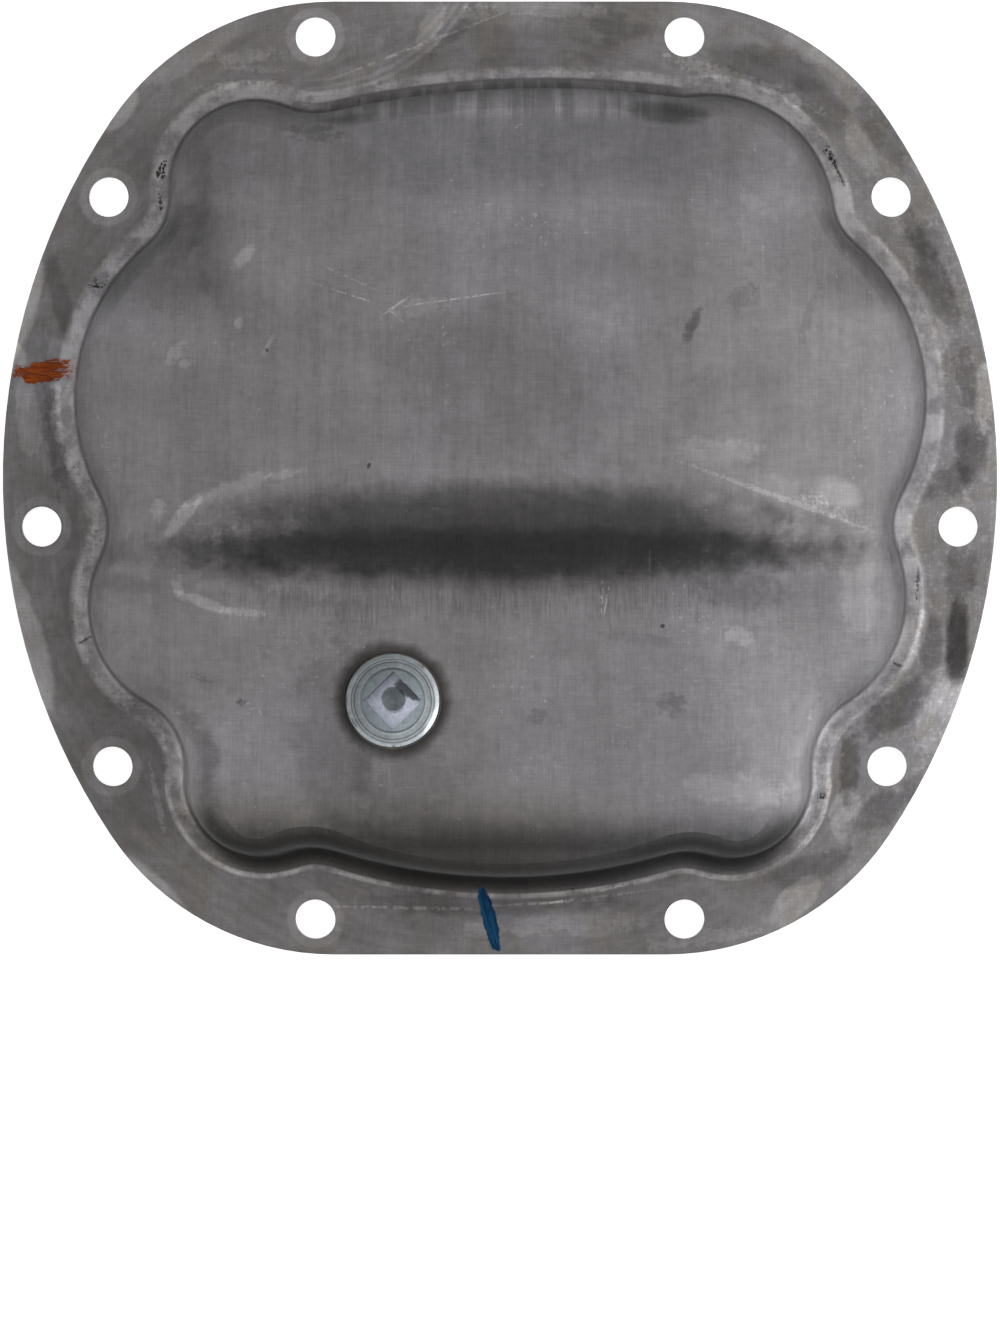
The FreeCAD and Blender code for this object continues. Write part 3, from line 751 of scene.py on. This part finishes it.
def weld_bead(material):
    """Fillet weld round the bung, inside the pan, in overlapping ripples."""
    across = PLUG_AXIS.orthogonal().normalized()
    around = PLUG_AXIS.cross(across)
    # Section of the bead: distance from the bung's side, and height over the inside of the sheet
    section = [(-0.3, 0.6), (-0.3, -2.6), (0.7, -2.3), (1.9, -1.4), (2.6, -0.4), (2.9, 0.6)]
    steps, ripples = 240, 34
    points, faces = [], []
    for i in range(steps):
        angle = 2 * math.pi * i / steps
        out = across * math.cos(angle) + around * math.sin(angle)
        phase = (i * ripples / steps) % 1.0
        swell = 0.86 + 0.22 * math.sqrt(phase) + 0.05 * math.sin(5 * angle)
        for reach, height in section:
            reach = reach * swell if reach > 0 else reach
            height = height * swell if height < 0 else height
            points.append((PLUG_ON_DOME + out * (BUNG_RADIUS + reach) + PLUG_AXIS * (height - SHEET)) * MM)
    count = len(section)
    for i in range(steps):
        here, there = i * count, ((i + 1) % steps) * count
        for j in range(count):
            k = (j + 1) % count
            faces.append((here + j, there + j, there + k, here + k))
    mesh = bpy.data.meshes.new("weld_bead")
    mesh.from_pydata(points, [], faces)
    mesh.shade_smooth()
    bead = bpy.data.objects.new("weld_bead", mesh)
    bpy.context.collection.objects.link(bead)
    bead.data.materials.append(material)
    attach(bead, "root")


def seen_directly(n, path):
    """1 for rays that show the background as it is: from the camera, off metal and through glass."""
    seen = n.larger(path["Is Camera Ray"], path["Is Glossy Ray"])
    return n.larger(seen, path["Is Transmission Ray"])


def white_floor():
    """White with the cover's soft shadow, and clear from below, so that the inside can be looked at. It lies
    just under the flange, whose bottom would flicker through it."""
    bpy.ops.mesh.primitive_plane_add(size=FLOOR_SIZE, location=(0, 0, FLOOR_LEVEL * MM))
    floor = bpy.context.active_object
    floor.name = "floor"
    n = Nodes("white_floor")
    path = n.tree.nodes.new("ShaderNodeLightPath").outputs
    matt = n.tree.nodes.new("ShaderNodeBsdfDiffuse")
    n.feed(matt.inputs["Color"], (FLOOR_GREY, FLOOR_GREY, FLOOR_GREY))
    glow = n.tree.nodes.new("ShaderNodeEmission")
    far = n.fade(n.away(0.0, 0.0), 250.0, 900.0)
    n.feed(glow.inputs["Strength"], n.add(GLOW_NEAR, n.mul(far, GLOW_FAR)))
    white = n.tree.nodes.new("ShaderNodeAddShader")
    n.feed(white.inputs[0], matt.outputs[0])
    n.feed(white.inputs[1], glow.outputs[0])
    clear = n.tree.nodes.new("ShaderNodeBsdfTransparent")
    pale = n.mix_shaders(seen_directly(n, path), matt.outputs[0], white.outputs[0])
    below = n.larger(n.place.outputs["Backfacing"], path["Is Shadow Ray"])
    floor.data.materials.append(n.finish(n.mix_shaders(below, pale, clear.outputs[0])))


def soft_world():
    """White where it is seen, and a faint even light on everything else."""
    world = bpy.data.worlds.new("studio")
    bpy.context.scene.world = world
    world.use_nodes = True
    n = Tree(world.node_tree)
    n.tree.nodes.clear()
    path = n.tree.nodes.new("ShaderNodeLightPath").outputs
    skies = []
    for strength in (WORLD_FILL, 1.0):
        sky = n.tree.nodes.new("ShaderNodeBackground")
        n.feed(sky.inputs["Color"], (1.0, 1.0, 1.0))
        n.feed(sky.inputs["Strength"], strength)
        skies.append(sky.outputs[0])
    output = n.tree.nodes.new("ShaderNodeOutputWorld")
    n.feed(output.inputs["Surface"], n.mix_shaders(seen_directly(n, path), *skies))


def soft_lamp(name, place, size, watts):
    data = bpy.data.lights.new(name, "AREA")
    data.shape = "RECTANGLE"
    data.size, data.size_y = size
    data.energy = watts
    lamp = bpy.data.objects.new(name, data)
    lamp.location = place
    toward = Vector((0, 0, 0)) - Vector(place)
    lamp.rotation_euler = toward.to_track_quat("-Z", "Y").to_euler()
    bpy.context.collection.objects.link(lamp)


def photo_camera():
    data = bpy.data.cameras.new("camera")
    data.sensor_fit = "HORIZONTAL"
    data.sensor_width = SENSOR_WIDTH
    data.lens = SENSOR_WIDTH * CAMERA_HEIGHT / PHOTO_WIDTH
    data.shift_y = -COVER_ABOVE_MIDDLE / PHOTO_PIXELS
    data.clip_start = 0.05
    camera = bpy.data.objects.new("camera", data)
    camera.location = (0, 0, CAMERA_HEIGHT)
    bpy.context.collection.objects.link(camera)
    bpy.context.scene.camera = camera


dress(pan, pressed_steel())
dress(plug, zinc_plate())
dress(bung, bung_steel())
weld_bead(bung_steel())
white_floor()
soft_world()
for lamp in LAMPS:
    soft_lamp(*lamp)
photo_camera()
bpy.context.scene.view_settings.view_transform = "Standard"
